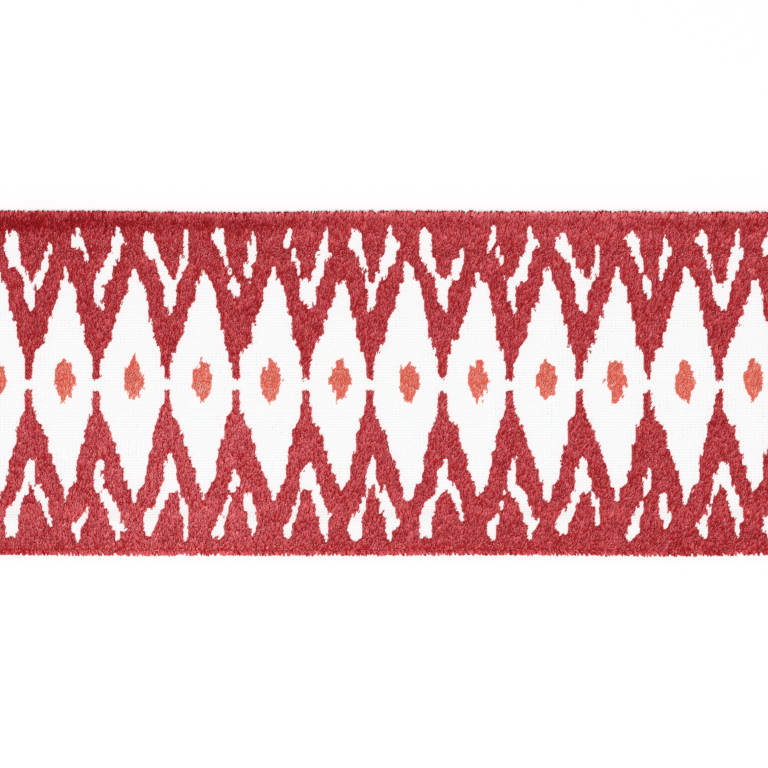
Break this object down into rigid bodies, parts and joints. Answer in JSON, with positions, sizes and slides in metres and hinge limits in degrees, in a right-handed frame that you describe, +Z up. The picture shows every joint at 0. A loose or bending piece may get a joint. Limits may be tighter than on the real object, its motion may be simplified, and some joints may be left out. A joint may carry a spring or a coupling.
{
  "type": "flat cut length of ikat velvet tape trim",
  "caption": "Flat straight strip of woven velvet tape, red ikat points and coral spots on off-white linen, long edges turned under.",
  "frame": {"origin": "on the surface that the tape lies on, under the middle of its length and width", "axes": "+X along the tape, +Y across it towards its far edge, +Z up out of its pile"},
  "size_m": [0.3, 0.0905, 0.0031],
  "materials": {
    "linen_ground": "off-white plain woven linen",
    "red_pile": "dark red cut velvet pile",
    "coral_pile": "coral cut velvet pile"
  },
  "bodies": {
    "root": {"tape": "red_pile"}
  },
  "joints": []
}
